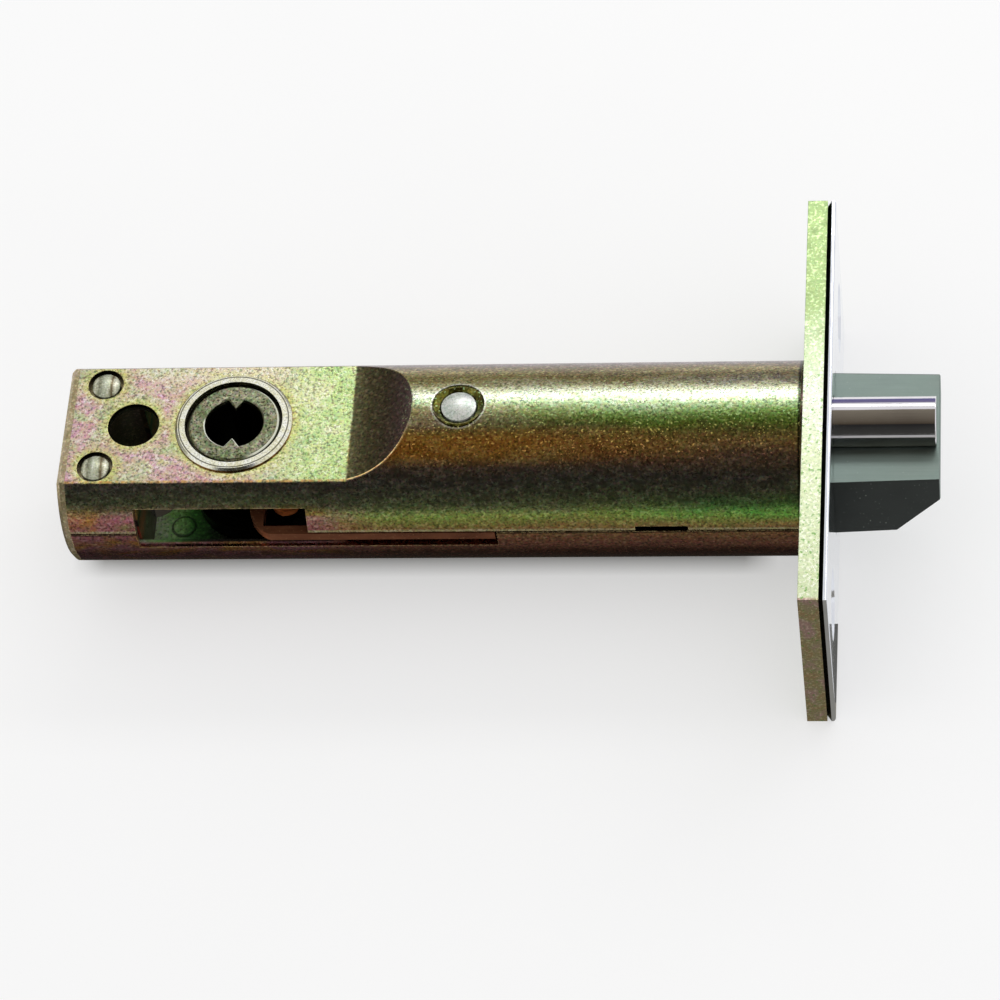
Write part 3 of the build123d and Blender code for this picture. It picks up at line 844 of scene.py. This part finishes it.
# drawn and pressed pieces: fine lines along X and faint clouds
drawnGrain = {
    "lines": {"size": 0.12, "detail": 2, "stretch": (60, 1, 1)},
    "lineShare": 0.3,
    "clouds": {"size": 3.0, "detail": 4, "stretch": (2, 1, 1), "shift": (5, 1, 9), "warp": 0.3},
    "cloudShare": 0.7,
    "specks": {"size": 0.22, "detail": 1, "shift": (3, 9, 6)},
    "speckFade": 0.06,
    "speckShare": 0.5,
    "bump": (0.006, 0.2),
}
drawnLooks = {
    "boltSatin": {
        "nodes": ("latch_bolt",),
        "metallic": 1.0,
        "stops": [(0.25, (112, 124, 120)), (0.5, (124, 138, 132)), (0.75, (134, 146, 140))],
        "specks": (0.74, (196, 206, 190)),
        "sides": {"draft": 0.02846, "reach": (7.92, 7.96), "tone": (42, 46, 44)},
        "rough": (0.34, 0.44),
    },
    "plungerChrome": {
        "nodes": ("plunger",),
        "metallic": 1.0,
        "stops": [(0.25, (214, 210, 216)), (0.5, (230, 228, 232)), (0.75, (242, 240, 242))],
        "specks": (0.74, (190, 180, 160)),
        "rough": (0.05, 0.10),
    },
    "faceChrome": {
        "nodes": ("face_plate",),
        "metallic": 1.0,
        "stops": [(0.25, (220, 224, 232)), (0.5, (229, 232, 239)), (0.75, (237, 240, 245))],
        "specks": (0.74, (180, 186, 200)),
        "groove": {"x": (2.3, 2.83), "soft": 0.03, "tone": (22, 22, 28)},
        "rough": (0.05, 0.12),
    },
    "retractorSteel": {
        "nodes": ("retractor", "bolt_tail"),
        "metallic": 0.7,
        "stops": [(0.25, (104, 60, 40)), (0.5, (138, 84, 56)), (0.75, (176, 118, 82))],
        "specks": (0.68, (224, 176, 130)),
        "rough": (0.25, 0.40),
    },
    "springSteel": {
        "nodes": ("pawl_spring", "bolt_spring", "plunger_spring"),
        "metallic": 1.0,
        "stops": [(0.25, (96, 92, 86)), (0.5, (130, 126, 120)), (0.75, (160, 156, 150))],
        "specks": (0.72, (170, 166, 160)),
        "rough": (0.22, 0.34),
    },
}


def paintDrawn(name, look):
    steel = Finish(name, look["metallic"])
    lines = steel.noise(**drawnGrain["lines"])
    clouds = steel.noise(**drawnGrain["clouds"])
    shade = steel.math(
        "ADD",
        steel.both(lines, drawnGrain["lineShare"]),
        steel.both(clouds, drawnGrain["cloudShare"]),
    )
    body = steel.ramp(shade, look["stops"])
    # a dark band across the chrome plate's edge
    if "groove" in look:
        groove = look["groove"]
        inDarkBand = steel.between(steel.axes()[0], *groove["x"], groove["soft"])
        body = steel.blend(inDarkBand, body, groove["tone"])
    # painted dark reflection: the bolt's two sides are darkened
    if "sides" in look:
        sides = look["sides"]
        axes = steel.axes()
        reach = steel.math(
            "ADD", steel.math("ABSOLUTE", axes[1]), steel.both(axes[0], sides["draft"])
        )
        body = steel.blend(steel.fade(reach, *sides["reach"]), body, sides["tone"])
    limit, speck = look["specks"]
    specks = steel.level(
        steel.noise(**drawnGrain["specks"]),
        limit, limit + drawnGrain["speckFade"], 0.0, drawnGrain["speckShare"],
    )
    steel.colour(steel.blend(specks, body, speck))
    steel.rough(clouds, *look["rough"])
    steel.bump(lines, *drawnGrain["bump"])
    steel.paint(*look["nodes"])
    return steel


# sintered hub: fine pores, painted shade on the ledge, inside the case and in the bore, with a
# bronze tint on the cam brightened as a painted glint
hubLook = {
    "centre": (-67.35, 0, 0),
    "bodyNoise": {"size": 1.6, "detail": 4, "shift": (2, 6, 1)},
    "body": [(0.3, (118, 130, 92)), (0.5, (150, 154, 122)), (0.7, (184, 180, 152))],
    "glitter": (0.26, 0.9, 96, 0.45),
    "ledgeRadius": (5.42, 5.48),
    "insideHeight": (7.5, 7.4),
    "bore": {"radius": (3.55, 3.45), "height": (7.7, 7.6)},
    "dark": (38, 36, 30),
    "cam": {
        "radius": (5.2, 5.6),
        "height": (3.0, 2.6),
        "noise": {"size": 0.8, "detail": 3},
        "stops": [(0.35, (150, 78, 34)), (0.55, (222, 122, 62)), (0.7, (246, 160, 96))],
        "bare": 0.5,
    },
    "socketRim": {"height": (8.08, 8.2), "radius": (4.2, 4.1), "y": (0.8, 0.2), "x": (-65.6, -66)},
    "faceRim": {"height": (8.04, 8.21), "radius": (5.1, 5.2), "x": (-66.0, -64.5)},
    "rimSoft": 0.02,
    "rimTone": (248, 250, 232),
    "leastMetal": 0.1,
    "roughNoise": {"size": 0.6, "detail": 3},
    "rough": (0.28, 0.44),
    "bump": (0.02, 0.3, 0.12),
}


def paintHub():
    hub = Finish("hubSintered")
    x, y, z = hub.axes()
    height = hub.math("ABSOLUTE", z)
    reach = hub.away(hubLook["centre"], aboutZ)
    body = hub.ramp(hub.noise(**hubLook["bodyNoise"]), hubLook["body"])
    body, grain = hub.glitter(body, *hubLook["glitter"])
    # painted shade on the ledge round the face, inside the case and in the bore
    ledge = hub.fade(reach, *hubLook["ledgeRadius"])
    inside = hub.fade(height, *hubLook["insideHeight"])
    look = hubLook["bore"]
    bore = hub.both(hub.fade(reach, *look["radius"]), hub.fade(height, *look["height"]))
    body = hub.blend(hub.most(ledge, inside, bore), body, hubLook["dark"])
    # the cam's bronze tint, made bright and less metallic as a painted glint
    look = hubLook["cam"]
    cam = hub.both(hub.fade(reach, *look["radius"]), hub.fade(height, *look["height"]))
    body = hub.blend(cam, body, hub.ramp(hub.noise(**look["noise"]), look["stops"]))

    # painted highlights: bright lines on the rims where they would catch the light
    look = hubLook["socketRim"]
    socketRim = hub.both(
        hub.between(height, *look["height"], hubLook["rimSoft"]),
        hub.fade(reach, *look["radius"]),
        hub.fade(y, *look["y"]),
        hub.fade(x, *look["x"]),
    )
    look = hubLook["faceRim"]
    faceRim = hub.both(
        hub.between(height, *look["height"], hubLook["rimSoft"]),
        hub.fade(reach, *look["radius"]),
        hub.fade(x, *look["x"]),
    )
    rim = hub.most(socketRim, faceRim)
    hub.colour(hub.blend(rim, body, hubLook["rimTone"]))
    hub.metal(hub.most(rim, hub.both(cam, hubLook["cam"]["bare"])), hubLook["leastMetal"])
    hub.rough(hub.noise(**hubLook["roughNoise"]), *hubLook["rough"])
    hub.bump(grain, *hubLook["bump"])
    hub.paint("hub")


paintCase()
for name, look in zincLooks.items():
    paintZinc(name, look)
paintPlate()
paintBushes()
paintPlug()
paintRivets()
drawn = {name: paintDrawn(name, look) for name, look in drawnLooks.items()}
paintHub()
print("metals painted")


# the two coils, wound round; each stands for its plainer CAD solid
coilMake = {"sides": 14, "steps": 48, "merge": 1e-6, "smooth": 40}
coilLooks = {
    "boltCoil": {
        "node": "bolt_spring",
        "joint": "bolt_slide",
        "wire": 0.43,
        "turns": 6,
        "travel": 12.0,
    },
    "plungerCoil": {
        "node": "plunger_spring",
        "joint": "plunger_slide",
        "wire": 0.24,
        "turns": 8,
        "travel": 11.6,
    },
}


def windCoil(name, look):
    low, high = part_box(look["node"])
    wire = look["wire"] * mm
    middleY = (low.y + high.y) / 2
    middleZ = (low.z + high.z) / 2
    radius = (high.y - low.y) / 2 - wire
    length = high.x - low.x - 2 * wire
    bpy.ops.object.select_all(action="DESELECT")
    bpy.ops.mesh.primitive_circle_add(
        vertices=coilMake["sides"], radius=wire, rotation=(math.pi / 2, 0, 0)
    )
    coil = bpy.context.object
    coil.name = name
    bpy.ops.object.transform_apply(location=False, rotation=True, scale=False)
    bpy.ops.object.mode_set(mode="EDIT")
    bpy.ops.mesh.select_all(action="SELECT")
    bpy.ops.transform.translate(value=(0, 0, radius))
    bpy.ops.object.mode_set(mode="OBJECT")
    screw = coil.modifiers.new("winding", "SCREW")
    screw.axis = "X"
    screw.screw_offset = length / look["turns"]
    screw.iterations = look["turns"]
    screw.steps = coilMake["steps"]
    screw.render_steps = coilMake["steps"]
    screw.use_merge_vertices = False
    bpy.ops.object.modifier_apply(modifier="winding")
    bpy.ops.object.mode_set(mode="EDIT")
    bpy.ops.mesh.select_all(action="SELECT")
    bpy.ops.mesh.remove_doubles(threshold=coilMake["merge"])
    bpy.ops.mesh.fill_holes(sides=0)
    bpy.ops.mesh.normals_make_consistent(inside=False)
    bpy.ops.transform.translate(value=(low.x + wire, middleY, middleZ))
    bpy.ops.object.mode_set(mode="OBJECT")
    bpy.ops.object.shade_smooth_by_angle(angle=math.radians(coilMake["smooth"]))
    coil.data.materials.append(drawn["springSteel"].material)
    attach(coil, "case")
    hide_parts(look["node"])
    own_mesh(coil)


for name, look in coilLooks.items():
    windCoil(name, look)
print("coils wound")


# studio: pale floor with painted shade under the tube, soft sky, one strip lamp behind, and dark
# cards that only the metal sees, each with its size, place, turn and the tones at its two sides
lying = (0, 0, 0)
facingY = (90, 0, 0)
facingX = (0, 90, 0)
studio = {
    "floor": {"size": 8.0, "gap": 0.05, "tone": (250, 250, 250), "fibre": 40.0, "step": 2},
    "floorRough": 0.9,
    "whiten": 0.5,
    "shade": {"x": (-86, -8), "y": (-4, 8), "soft": 4, "tone": (104, 98, 88)},
    "sky": 0.85,
    "strip": {"size": (520, 70), "spot": (160, 330, 330), "power": 0.45},
    "cards": [
        # overhead, in front, two behind and one past the rear end
        ((720, 850), (-50, -185, 600), lying, (0.06, 0.046, 0.032), (0.22, 0.195, 0.15)),
        ((820, 620), (-60, -610, 290), facingY, (0.05, 0.05, 0.045), (0.018, 0.018, 0.018)),
        ((340, 300), (-230, 520, 140), facingY, (0.22, 0.2, 0.17), (0.26, 0.24, 0.2)),
        ((360, 300), (120, 520, 140), facingY, (0.14, 0.13, 0.3), (0.2, 0.18, 0.3)),
        ((900, 860), (-420, 400, 420), facingX, (0.3, 0.3, 0.28), (0.3, 0.3, 0.28)),
        # mats on the floor, under the tube and in front of it; the dark one under the tube stands
        # in for its shadow as the metal sees it
        ((133.3, 29), (-63.35, -0.5, -12.73), lying, (0.022, 0.02, 0.018), (0.05, 0.05, 0.045)),
        ((134.6, 11), (-62.7, -20.5, -12.73), lying, (0.12, 0.12, 0.114), (0.1, 0.1, 0.095)),
        ((620, 436), (-60, -368, -12.73), lying, (0.06, 0.06, 0.055), (0.06, 0.06, 0.055)),
        ((420, 90), (-60, -105, -12.73), lying, (0.45, 0.45, 0.44), (0.45, 0.45, 0.44)),
        ((300, 34), (-50, -43, -12.73), lying, (0.26, 0.25, 0.22), (0.26, 0.25, 0.22)),
    ],
}


def layFloor():
    look = studio["floor"]
    spot = (0, 0, cadBox[0].z - look["gap"] * mm)
    bpy.ops.mesh.primitive_plane_add(size=look["size"], location=spot)
    floor = bpy.context.object
    floor.name = "studioFloor"
    paper = Finish("floorPaper", 0.0)
    paper.shader.inputs["Roughness"].default_value = studio["floorRough"]
    paper.shader.inputs["Specular IOR Level"].default_value = 0.0
    pale = look["tone"]
    duller = tuple(c - look["step"] for c in pale)
    low, high = narrowSpan
    body = paper.ramp(paper.noise(look["fibre"]), [(low, duller), (high, pale)])
    # painted shadow: the floor's colour darkened under the tube
    shade = studio["shade"]
    axes = paper.axes()
    under = paper.both(
        paper.between(axes[0], *shade["x"], shade["soft"]),
        paper.between(axes[1], *shade["y"], shade["soft"]),
    )
    paper.colour(paper.blend(under, body, shade["tone"]))

    # what the camera and the metal see of the floor is whitened, except in the shade
    path = paper.add("ShaderNodeLightPath").outputs
    seen = paper.most(
        path["Is Camera Ray"], path["Is Glossy Ray"], path["Is Transmission Ray"]
    )
    whiten = paper.both(
        paper.level(seen, 0.0, 1.0, 0.0, studio["whiten"]),
        paper.math("SUBTRACT", 1.0, under),
    )
    white = paper.add("ShaderNodeEmission")
    mix = paper.add("ShaderNodeMixShader")
    paper.join(whiten, mix.inputs[0])
    paper.join(paper.shader.outputs[0], mix.inputs[1])
    paper.join(white.outputs[0], mix.inputs[2])
    paper.join(mix.outputs[0], paper.tree.nodes["Material Output"].inputs["Surface"])
    floor.data.materials.append(paper.material)


def standCards():
    for number, (size, spot, turn, nearTone, farTone) in enumerate(studio["cards"]):
        bpy.ops.mesh.primitive_plane_add(
            size=1.0,
            location=[s * mm for s in spot],
            rotation=[math.radians(t) for t in turn],
        )
        card = bpy.context.object
        card.name = "darkCard" + str(number)
        along, tall = (s * mm for s in size)
        sideways = turn == facingX
        card.scale = (tall, along, 1) if sideways else (along, tall, 1)
        felt = Finish(card.name, 0.0)
        across = felt.level(felt.axes()[0 if sideways else 1], -0.5, 0.5)
        glow = felt.ramp(across, [(0.0, nearTone), (1.0, farTone)], lightColour)
        felt.shader.inputs["Base Color"].default_value = (0, 0, 0, 1)
        felt.shader.inputs["Specular IOR Level"].default_value = 0.0
        felt.join(glow, felt.shader.inputs["Emission Color"])
        felt.shader.inputs["Emission Strength"].default_value = 1.0
        card.data.materials.append(felt.material)
        card.visible_camera = False
        card.visible_diffuse = False
        card.visible_shadow = False
        card.visible_transmission = False


# the strip faces the tube's axis square on
def hangStrip():
    look = studio["strip"]
    spot = Vector(look["spot"]) * mm
    bpy.ops.object.light_add(type="AREA", location=spot)
    lamp = bpy.context.object
    lamp.name = "stripLamp"
    lamp.data.shape = "RECTANGLE"
    lamp.data.size = look["size"][0] * mm
    lamp.data.size_y = look["size"][1] * mm
    lamp.data.energy = look["power"]
    back = (spot - Vector((spot.x, 0, 0))).normalized()
    along = Vector((1, 0, 0))
    lamp.rotation_euler = Matrix((along, back.cross(along), back)).transposed().to_euler()


def lightSky():
    world = bpy.data.worlds.new("studioSky")
    bpy.context.scene.world = world
    world.use_nodes = True
    sky = world.node_tree.nodes["Background"]
    sky.inputs["Color"].default_value = (1.0, 1.0, 1.0, 1.0)
    sky.inputs["Strength"].default_value = studio["sky"]


layFloor()
standCards()
hangStrip()
lightSky()
bpy.context.scene.view_settings.view_transform = "Standard"
print("studio set")
